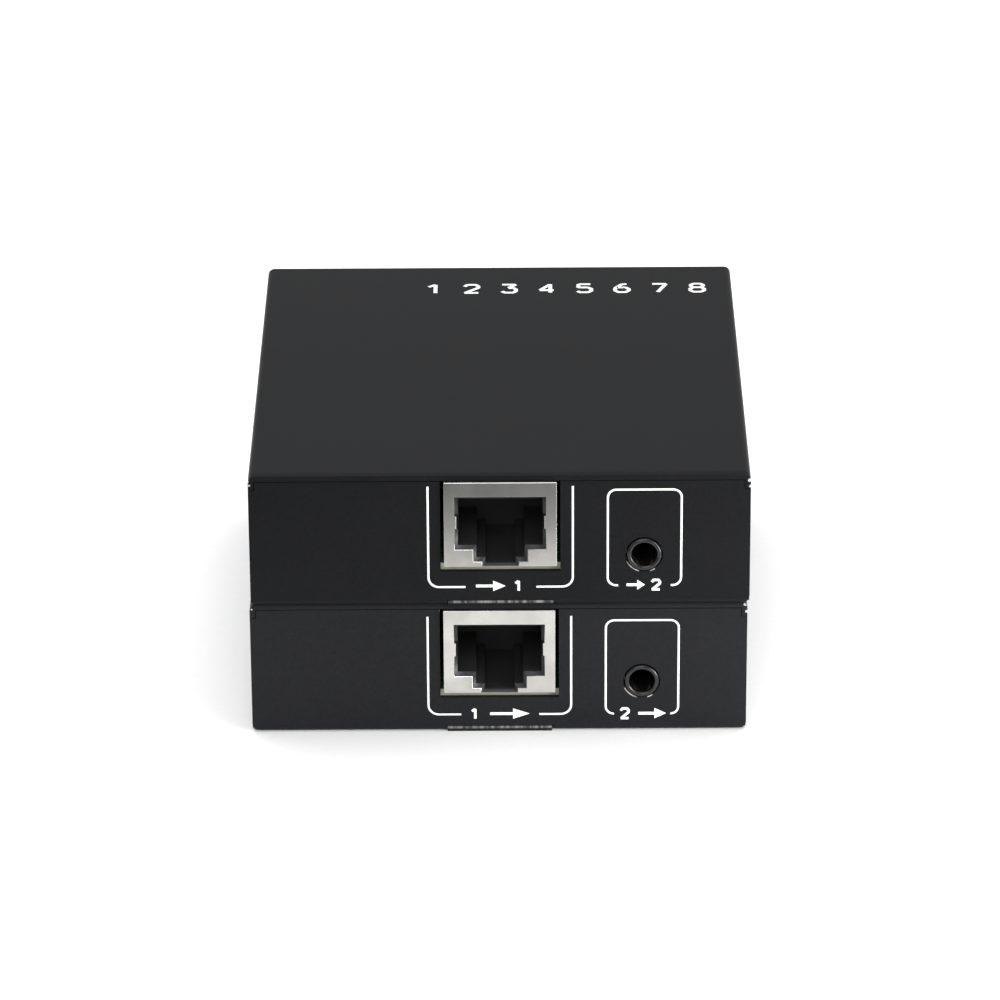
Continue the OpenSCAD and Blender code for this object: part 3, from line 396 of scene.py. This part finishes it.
def bare_arcs(graph, where):
    """How much bare steel shows on the lower edge of the hole round each remote jack."""
    across, along, height = graph.add("ShaderNodeSeparateXYZ", {0: where}).outputs
    total = None
    for unit in UNITS:
        middle = spot(unit, JACK_X, 0, JACK_Z)
        aside = graph.math("SUBTRACT", across, middle.x)
        rise = graph.math("SUBTRACT", height, middle.z)
        squares = graph.math("ADD", graph.math("POWER", aside, 2.0), graph.math("POWER", rise, 2.0))
        past = graph.math("SUBTRACT", graph.math("SQRT", squares), (JACK_HOLE_R + ARC_OUT) * MM)
        ring = graph.ramp(graph.math("ABSOLUTE", past), ARC_FADE[0] * MM, ARC_FADE[1] * MM)
        front = graph.math("LESS_THAN", along, middle.y + ARC_DEPTH * MM)
        for drop, left, right in BARE_ARCS:
            here = graph.math("MULTIPLY", ring, front)
            for share in (
                    graph.math("LESS_THAN", rise, drop * MM), graph.math("GREATER_THAN", aside, left * MM),
                    graph.math("LESS_THAN", aside, right * MM)):
                here = graph.math("MULTIPLY", here, share)
            total = here if total is None else graph.math("MAXIMUM", total, here)
    return graph.math("MULTIPLY", total, graph.ramp(graph.noise(where, 900.0, 2.0), 0.3, 0.6, 0.2, 0.75))


def sheared_edges(graph, where):
    """How much bare steel shows along the sheared upper edge of each tongue under a line socket."""
    across, along, height = graph.add("ShaderNodeSeparateXYZ", {0: where}).outputs
    dashes = graph.add("ShaderNodeMapping", {"Vector": where, "Scale": (1.0, 0.05, 0.05)}).outputs[0]
    rag = graph.ramp(graph.noise(dashes, 1100.0, 2.0, 0.7), 0.42, 0.62, 0.12, 0.85)
    total = None
    for unit in UNITS:
        middle = spot(unit, SOCKET_X, 0, TONGUE_EDGE_Z)
        beside = graph.math("ABSOLUTE", graph.math("SUBTRACT", across, middle.x))
        inside = graph.math("LESS_THAN", beside, TONGUE_HALF_W * MM)
        front = graph.math("LESS_THAN", along, middle.y + SHEAR_DEPTH * MM)
        rise = graph.math("ABSOLUTE", graph.math("SUBTRACT", height, middle.z))
        band = graph.ramp(rise, SHEAR_FADE[0] * MM, SHEAR_FADE[1] * MM)
        here = graph.math("MULTIPLY", graph.math("MULTIPLY", inside, front), band)
        total = here if total is None else graph.math("MAXIMUM", total, here)
    return graph.math("MULTIPLY", total, rag)


def tin_plate():
    """Rolled tin plate, a little mottled, with painted shade that darkens it towards the top of the
    receiver's socket.
    """
    material, graph = empty_material("tin_plate")
    where = graph.add("ShaderNodeTexCoord").outputs["Object"]
    cloud = graph.noise(where, 260.0, 2.0)
    colour = graph.mix(graph.ramp(cloud, 0.3, 0.7), TIN_DARK, TIN_LIGHT)
    low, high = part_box("receiver_line_socket_shield")
    height = graph.add("ShaderNodeSeparateXYZ", {0: where}).outputs[2]
    start, full = low[2] + TIN_SHADE_START * MM, high[2] - TIN_SHADE_FULL * MM
    # Painted shade on the receiver's shield, rising towards its top and stopping under its upper rim
    risen = graph.ramp(height, start, full, 0.0, TIN_SHADE_SHARE)
    under, rim = (high[2] - depth * MM for depth in TIN_RIM)
    painted_shade = graph.math("MULTIPLY", risen, graph.ramp(height, under, rim, 1.0, 0.0))
    colour = graph.mix(painted_shade, colour, TIN_SHADE)
    surface(graph, {
        "Base Color": colour, "Metallic": 1.0, "Roughness": graph.ramp(cloud, 0.3, 0.7, 0.25, 0.28)})
    return material


def plain_metal(name, light, dark, smooth, rough, scale):
    """Plain or plated metal, a little cloudy."""
    material, graph = empty_material(name)
    where = graph.add("ShaderNodeTexCoord").outputs["Object"]
    cloud = graph.noise(where, scale, 3.0)
    surface(graph, {
        "Base Color": graph.mix(cloud, dark, light), "Metallic": 1.0,
        "Roughness": graph.ramp(cloud, 0.3, 0.7, smooth, rough),
        "Normal": graph.bump(cloud, 0.1, 0.01 * MM)})
    return material


def moulded(name, dark, light, smooth, rough, grain_scale, grain_depth, gloss=0.5):
    """Moulded plastic or resin with a fine grain."""
    material, graph = empty_material(name)
    where = graph.add("ShaderNodeTexCoord").outputs["Object"]
    cloud = graph.noise(where, 240.0, 2.0)
    grain = graph.noise(where, grain_scale, 2.0)
    surface(graph, {
        "Base Color": graph.mix(cloud, dark, light), "Specular IOR Level": gloss,
        "Roughness": graph.ramp(cloud, 0.3, 0.7, smooth, rough),
        "Normal": graph.bump(grain, 0.2, grain_depth * MM)})
    return material


def board_resin():
    """Green solder mask with tracks, and a bare greyish edge."""
    material, graph = empty_material("circuit_board")
    where = graph.add("ShaderNodeTexCoord").outputs["Object"]
    across, along, height = graph.add("ShaderNodeSeparateXYZ", {0: where}).outputs
    face = None
    for unit in UNITS:
        low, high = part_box(unit + "_board")
        above = graph.math("GREATER_THAN", height, low[2] + MASK_T * MM)
        below = graph.math("LESS_THAN", height, high[2] - MASK_T * MM)
        inside = graph.math("MULTIPLY", above, below)
        face = inside if face is None else graph.math("MAXIMUM", face, inside)
    tracks = graph.add("ShaderNodeTexBrick", {
        "Vector": where, "Scale": 330.0, "Mortar Size": 0.09, "Mortar Smooth": 0.2,
        "Color1": (0, 0, 0, 1), "Color2": (0, 0, 0, 1), "Mortar": (1, 1, 1, 1)}).outputs[0]
    patches = graph.ramp(graph.noise(where, 120.0, 1.0), 0.5, 0.54)
    copper = graph.math("MULTIPLY", tracks, patches)
    mask = graph.mix(copper, MASK_GREEN, TRACK_GREEN)
    edge = graph.mix(graph.noise(where, 1500.0, 2.0), RESIN_DARK, RESIN_LIGHT)
    surface(graph, {
        "Base Color": graph.mix(face, mask, edge), "Roughness": graph.ramp(face, 0.0, 1.0, 0.25, 0.7),
        "Normal": graph.bump(copper, 0.3, 0.03 * MM)})
    return material


def light_lens():
    """Milky green lens of a status light."""
    material, graph = empty_material("status_lens")
    where = graph.add("ShaderNodeTexCoord").outputs["Object"]
    cloud = graph.noise(where, 300.0, 2.0)
    surface(graph, {
        "Base Color": graph.mix(cloud, (0.28, 0.62, 0.32, 1), (0.4, 0.75, 0.44, 1)), "Roughness": 0.18,
        "Subsurface Weight": 0.3, "Subsurface Radius": (0.001, 0.002, 0.001)})
    return material


def print_ink():
    """White ink of the prints."""
    material, graph = empty_material("white_ink")
    where = graph.add("ShaderNodeTexCoord").outputs["Object"]
    mottle = graph.noise(where, 2200.0, 3.0)
    surface(graph, {
        "Base Color": graph.mix(mottle, (0.84, 0.84, 0.83, 1), (0.94, 0.94, 0.93, 1)), "Roughness": 0.55,
        "Normal": graph.bump(mottle, 0.15, 0.01 * MM)})
    return material


# ---------------------------------------------------------------- pieces

# Faces that meet at less than the first angle count as one, and convex edges over the second are rounded
FLAT_ANGLE = math.radians(0.5)
SHARP_ANGLE = math.radians(40)
ROUNDING_STEPS = 3
# Edges up to this angle are shaded smooth
SMOOTH_ANGLE = math.radians(35)
# Straight pieces in each rounded corner of a printed line
CORNER_STEPS = 8
# Corner radius of a numeral, as a share of its height
NUMERAL_CORNER = 0.06
# Share by which each further stroke of a numeral is thicker, so that no two faces fall together
STROKE_STEP = 0.3


def baked(piece):
    """Turns a piece with modifiers into a plain mesh."""
    graph = bpy.context.evaluated_depsgraph_get()
    mesh = bpy.data.meshes.new_from_object(piece.evaluated_get(graph))
    piece.modifiers.clear()
    piece.data = mesh


def softened(unit, node, name, material, width, shortest):
    """A copy of a node with its long sharp edges rounded as a press, a mould or a coat leaves them."""
    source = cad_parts[f"{unit}_{node}"]
    work = bmesh.new()
    work.from_mesh(source.data)
    bmesh.ops.remove_doubles(work, verts=work.verts, dist=WELD)
    bmesh.ops.dissolve_limit(work, angle_limit=FLAT_ANGLE, verts=work.verts, edges=work.edges)
    sharp = [
        edge for edge in work.edges
        if len(edge.link_faces) == 2 and edge.calc_length() > shortest * MM and edge.is_convex
        and edge.calc_face_angle() > SHARP_ANGLE]
    bmesh.ops.bevel(
        work, geom=sharp, offset=width * MM, segments=ROUNDING_STEPS, profile=0.5, affect="EDGES",
        clamp_overlap=True)
    mesh = bpy.data.meshes.new(name)
    work.to_mesh(mesh)
    work.free()
    mesh.materials.append(material)
    piece = linked(f"{unit}_{name}", mesh)
    mesh.shade_smooth()
    mesh.set_sharp_from_angle(angle=SMOOTH_ANGLE)
    even = piece.modifiers.new("even normals", "WEIGHTED_NORMAL")
    even.keep_sharp = True
    baked(piece)
    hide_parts(f"{unit}_{node}")
    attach(piece, unit)


def line_tree(material):
    """Geometry Nodes tree that prints a flat line of ink along a path drawn in the X-Y plane."""
    tree = bpy.data.node_groups.new("printed_line", "GeometryNodeTree")
    tree.interface.new_socket("Geometry", in_out="INPUT", socket_type="NodeSocketGeometry")
    for name, value in (("Line Width", INK_LINE_W), ("Ink Thickness", INK_T), ("Corner Radius", 1.2)):
        socket = tree.interface.new_socket(name, in_out="INPUT", socket_type="NodeSocketFloat")
        socket.default_value = value * MM
    tree.interface.new_socket("Geometry", in_out="OUTPUT", socket_type="NodeSocketGeometry")
    graph = Graph(tree)
    given = graph.add("NodeGroupInput").outputs
    path = graph.add("GeometryNodeMeshToCurve", {"Mesh": given["Geometry"]}).outputs[0]
    normal = graph.add("GeometryNodeSetCurveNormal", {"Curve": path}, mode="Z_UP").outputs[0]
    fillet = graph.add("GeometryNodeFilletCurve", {
        "Curve": normal, "Radius": given["Corner Radius"], "Limit Radius": True})
    set_poly_fillet(fillet, CORNER_STEPS)
    profile = graph.add("GeometryNodeCurvePrimitiveQuadrilateral", {
        0: given["Line Width"], 1: given["Ink Thickness"]}).outputs[0]
    strip = graph.add("GeometryNodeCurveToMesh", {
        "Curve": fillet.outputs[0], "Profile Curve": profile, "Fill Caps": True}).outputs[0]
    real = graph.add("GeometryNodeRealizeInstances", {"Geometry": strip}).outputs[0]
    inked = graph.add("GeometryNodeSetMaterial", {"Geometry": real, "Material": material}).outputs[0]
    graph.add("NodeGroupOutput", {"Geometry": inked})
    return tree


def set_poly_fillet(node, count):
    """Sets a fillet of straight pieces, in a socket or in a setting, as the Blender version has it."""
    if "Mode" in node.inputs:
        node.inputs["Mode"].default_value = "Poly"
    else:
        node.mode = "POLY"
    node.inputs["Count"].default_value = count


def set_input(modifier, name, value):
    """Sets a named input of a Geometry Nodes modifier."""
    for item in modifier.node_group.interface.items_tree:
        if item.item_type == "SOCKET" and item.in_out == "INPUT" and item.name == name:
            modifier[item.identifier] = value


def printed_path(tree, points, corner, width=INK_LINE_W, thick=INK_T):
    """Mesh of an inked line through points in mm in the X-Y plane."""
    mesh = bpy.data.meshes.new("path")
    steps = [(i, i + 1) for i in range(len(points) - 1)]
    mesh.from_pydata([(x * MM, y * MM, 0) for x, y in points], steps, [])
    piece = linked("path", mesh)
    modifier = piece.modifiers.new("ink", "NODES")
    modifier.node_group = tree
    set_input(modifier, "Corner Radius", corner * MM)
    set_input(modifier, "Line Width", width * MM)
    set_input(modifier, "Ink Thickness", thick * MM)
    baked(piece)
    mesh = piece.data
    bpy.data.objects.remove(piece)
    return mesh


# Strokes of plain numerals in a box one wide and one high
NUMERALS = {
    "1": (((0.12, 0.76), (0.62, 1.0)), ((0.62, 1.0), (0.62, 0.0))),
    "2": (((0.0, 0.78), (0.2, 1.0), (0.8, 1.0), (1.0, 0.8), (1.0, 0.62), (0.04, 0.0)),
          ((0.0, 0.0), (1.0, 0.0))),
    "3": (((0.0, 1.0), (0.98, 1.0)), ((0.98, 0.98), (0.46, 0.6)),
          ((0.46, 0.58), (0.8, 0.58), (1.0, 0.4), (1.0, 0.18), (0.8, 0.0), (0.2, 0.0), (0.0, 0.16))),
    "4": (((0.76, 0.0), (0.76, 1.0)), ((0.74, 0.98), (0.02, 0.3)), ((0.0, 0.28), (1.0, 0.28))),
    "5": (((0.95, 1.0), (0.1, 1.0)), ((0.1, 1.0), (0.06, 0.58)),
          ((0.06, 0.6), (0.76, 0.6), (1.0, 0.42), (1.0, 0.18), (0.78, 0.0), (0.2, 0.0), (0.0, 0.14))),
    "6": (((0.85, 1.0), (0.5, 0.95), (0.06, 0.55), (0.0, 0.36), (0.0, 0.2), (0.22, 0.0), (0.78, 0.0),
           (1.0, 0.2), (1.0, 0.38), (0.78, 0.58), (0.12, 0.58)),),
    "7": (((0.0, 1.0), (1.0, 1.0)), ((0.98, 0.98), (0.36, 0.0))),
    "8": (((0.5, 0.55), (0.26, 0.55), (0.06, 0.7), (0.06, 0.86), (0.26, 1.0), (0.74, 1.0), (0.94, 0.86),
           (0.94, 0.7), (0.74, 0.55), (0.5, 0.55)),
          ((0.5, 0.55), (0.24, 0.55), (0.0, 0.38), (0.0, 0.16), (0.24, 0.0), (0.76, 0.0), (1.0, 0.16),
           (1.0, 0.38), (0.76, 0.55), (0.5, 0.55))),
}


def numeral_meshes(tree, text, low, high, width=0.38):
    """Inked strokes of a numeral that fills a place given in mm in the X-Y plane."""
    inset = width / 2
    corner = NUMERAL_CORNER * (high[1] - low[1])
    meshes = []
    for i, stroke in enumerate(NUMERALS[text]):
        points = [
            tuple(a + inset + share * (b - a - width) for a, b, share in zip(low, high, point))
            for point in stroke]
        meshes.append(printed_path(tree, points, corner, width, INK_T * (1 + STROKE_STEP * i)))
    return meshes


def arrow_mesh(low, high, stem=0.26, head=0.42):
    """Flat arrow that points right and fills a place given in mm in the X-Y plane."""
    (x0, y0), (x1, y1) = low, high
    middle, half = (y0 + y1) / 2, (y1 - y0) / 2
    neck = x1 - (x1 - x0) * head
    outline = [
        (x0, middle - half * stem), (neck, middle - half * stem), (neck, y0), (x1, middle),
        (neck, y1), (neck, middle + half * stem), (x0, middle + half * stem)]
    count = len(outline)
    points = [(x * MM, y * MM, side * INK_T * MM / 2) for side in (-1, 1) for x, y in outline]
    turns = [(i, (i + 1) % count) for i in range(count)]
    faces = [range(count - 1, -1, -1), range(count, 2 * count)]
    faces += [(i, j, j + count, i + count) for i, j in turns]
    mesh = bpy.data.meshes.new("arrow")
    mesh.from_pydata(points, [], [tuple(face) for face in faces])
    return mesh


def merged(name, meshes, matrix, material):
    """One piece from several flat meshes, placed by a matrix."""
    work = bmesh.new()
    for mesh in meshes:
        work.from_mesh(mesh)
    bmesh.ops.transform(work, matrix=matrix, verts=work.verts)
    mesh = bpy.data.meshes.new(name)
    work.to_mesh(mesh)
    work.free()
    for polygon in mesh.polygons:
        polygon.material_index = 0
    mesh.materials.append(material)
    return linked(name, mesh)


# Front prints of each unit in mm: frame lines, corner radius, then numerals and arrows in their places
FRONT_PRINTS = {
    "receiver": {
        "lines": (
            (((-4.89, 3.0), (-10.15, 3.0), (-10.15, 18.65)), 1.5),
            (((5.2, 3.0), (10.35, 3.0), (10.35, 18.65)), 1.5),
            (((16.8, 3.15), (15.3, 3.15), (15.3, 18.05), (25.72, 18.05), (25.72, 3.15), (24.28, 3.15)),
             1.2),
        ),
        "numerals": (("1", (1.9, 2.2), (3.2, 4.1)), ("2", (21.4, 2.3), (22.9, 4.16))),
        "arrows": (((-3.4, 2.35), (0.8, 3.95)), ((18.0, 2.45), (20.6, 4.0))),
    },
    "transmitter": {
        "lines": (
            (((-5.45, 2.73), (-10.15, 2.73), (-10.15, 18.3)), 1.5),
            (((5.77, 2.73), (10.35, 2.73), (10.35, 18.3)), 1.5),
            (((16.51, 2.72), (15.3, 2.72), (15.3, 17.6), (25.72, 17.6), (25.72, 2.72), (24.62, 2.72)),
             1.2),
        ),
        "numerals": (("1", (-4.2, 1.86), (-2.9, 3.8)), ("2", (17.3, 1.8), (18.8, 3.75))),
        "arrows": (((-1.3, 2.0), (4.4, 3.65)), ((20.0, 1.95), (24.0, 3.6))),
    },
}
# Row of numerals on top, in mm from the middle of the receiver's cover
TITLE_PLACE = ((-11.3, 28.7), (31.5, 32.55))
TITLE_NUMERALS = "12345678"
TITLE_NUMERAL_W = 2.7
TITLE_STROKE_W = 0.6

# Rear prints in mm, as seen from behind
REAR_PRINTS = {
    "lines": (
        (((-17.0, 3.4), (-21.2, 3.4), (-21.2, 15.8), (-2.8, 15.8), (-2.8, 3.4), (-7.0, 3.4)), 1.2),
        (((17.6, 3.0), (13.8, 3.0), (13.8, 18.3), (26.2, 18.3), (26.2, 3.0), (22.4, 3.0)), 1.2),
    ),
    "numerals": (
        ("3", (-12.7, 2.4), (-11.3, 4.3)), ("4", (19.3, 2.0), (20.7, 3.9)),
        ("5", (4.3, 14.2), (5.7, 16.1))),
}


def add_prints(material):
    """White prints on the front and the rear of each unit, and on top of the receiver."""
    tree = line_tree(material)
    rise = Matrix.Rotation(math.radians(90), 4, "X")
    for unit, prints in FRONT_PRINTS.items():
        meshes = [printed_path(tree, points, corner) for points, corner in prints["lines"]]
        for numeral in prints["numerals"]:
            meshes += numeral_meshes(tree, *numeral)
        meshes += [arrow_mesh(*arrow) for arrow in prints["arrows"]]
        stand = Matrix.Translation(spot(unit, 0, -INK_T / 2, 0)) @ rise
        add_print(f"{unit}_front_print", meshes, stand, material, unit)
        meshes = [printed_path(tree, points, corner) for points, corner in REAR_PRINTS["lines"]]
        for numeral in REAR_PRINTS["numerals"]:
            meshes += numeral_meshes(tree, *numeral)
        behind = Matrix.Translation(spot(unit, 0, CASE_D + INK_T / 2, 0))
        turned = behind @ Matrix.Rotation(math.pi, 4, "Z") @ rise
        add_print(f"{unit}_rear_print", meshes, turned, material, unit)
    (x0, y0), (x1, y1) = TITLE_PLACE
    pitch = (x1 - x0 - TITLE_NUMERAL_W) / (len(TITLE_NUMERALS) - 1)
    row = []
    for i, text in enumerate(TITLE_NUMERALS):
        left = x0 + i * pitch
        row += numeral_meshes(tree, text, (left, y0), (left + TITLE_NUMERAL_W, y1), TITLE_STROKE_W)
    lay = Matrix.Translation(spot("receiver", 0, CASE_D / 2, CASE_H + INK_T / 2))
    add_print("receiver_top_print", row, lay, material, "receiver")


def add_print(name, meshes, matrix, material, body):
    piece = merged(name, meshes, matrix, material)
    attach(piece, body)


# Nodes with rounded edges, as node, name of the piece, slot, width of the rounding and shortest edge in mm
ROUNDED = (
    ("cover", "cover_sheet", "case_paint", 0.1, 2.0),
    ("base", "base_sheet", "case_paint", 0.08, 2.0),
    ("line_socket_shield", "socket_shield", "tin_plate", 0.11, 0.3),
    ("line_socket_housing", "socket_housing", "black_moulding", 0.06, 0.4),
    ("remote_jack_body", "remote_jack_moulding", "black_gloss_moulding", 0.06, 1.0),
    ("video_port_shell", "port_shell", "tin_plate", 0.08, 1.0),
    ("power_jack_body", "power_jack_moulding", "black_moulding", 0.12, 2.0),
)


def dress_nodes():
    """Gives each node its finish, and rounds the edges of the sheets, shells and mouldings."""
    coat = powder_coat()
    tin = tin_plate()
    black = moulded(
        "black_moulding", (0.019, 0.0195, 0.02, 1), (0.028, 0.0285, 0.0292, 1), 0.3, 0.42, 3000.0, 0.01,
        gloss=0.25)
    glossy = moulded(
        "polished_black_moulding", (0.006, 0.006, 0.0065, 1), (0.009, 0.009, 0.01, 1), 0.07, 0.14,
        1500.0, 0.003)
    resin = moulded("chip_resin", (0.012, 0.012, 0.013, 1), (0.02, 0.02, 0.021, 1), 0.45, 0.6, 2500.0, 0.02)
    ferrite = moulded("ferrite", (0.03, 0.03, 0.032, 1), (0.05, 0.05, 0.052, 1), 0.5, 0.7, 2500.0, 0.03)
    gold = plain_metal("gold_plate", (0.86, 0.62, 0.26, 1), (0.75, 0.5, 0.18, 1), 0.18, 0.3, 600.0)
    zinc = plain_metal("zinc_plate", (0.7, 0.71, 0.73, 1), (0.55, 0.56, 0.58, 1), 0.28, 0.42, 500.0)
    dark_steel = plain_metal(
        "black_screw_steel", (0.05, 0.05, 0.052, 1), (0.03, 0.03, 0.032, 1), 0.3, 0.42, 700.0)
    can = plain_metal("drawn_aluminium", (0.82, 0.83, 0.84, 1), (0.7, 0.71, 0.72, 1), 0.25, 0.35, 400.0)
    finishes = {
        "cover": coat, "base": coat, "cover_screws": dark_steel, "standoffs": zinc, "board": board_resin(),
        "board_screws": zinc, "line_socket_shield": tin, "line_socket_housing": black,
        "line_socket_leads": gold, "line_socket_contacts": gold, "remote_jack_body": glossy,
        "remote_jack_terminals": gold, "remote_jack_spring": gold, "video_port_shell": tin,
        "video_port_tongue": black, "video_port_contacts": gold, "power_jack_body": black,
        "power_jack_terminals": tin, "power_jack_spring": tin, "status_light": light_lens(),
        "line_transformer": resin, "video_chip": resin, "control_chip": resin, "regulator": resin,
        "inductor": ferrite, "capacitors": can, "crystal": can, "resistors": resin}
    for unit in UNITS:
        for piece, material in finishes.items():
            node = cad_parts[f"{unit}_{piece}"]
            for slot in node.material_slots:
                slot.material = material
        for node, name, slot, width, shortest in ROUNDED:
            softened(unit, node, name, finishes[node], width, shortest)


bpy.context.scene.view_settings.view_transform = "Standard"
add_camera()
add_stage()
add_lights()
dress_nodes()
add_prints(print_ink())
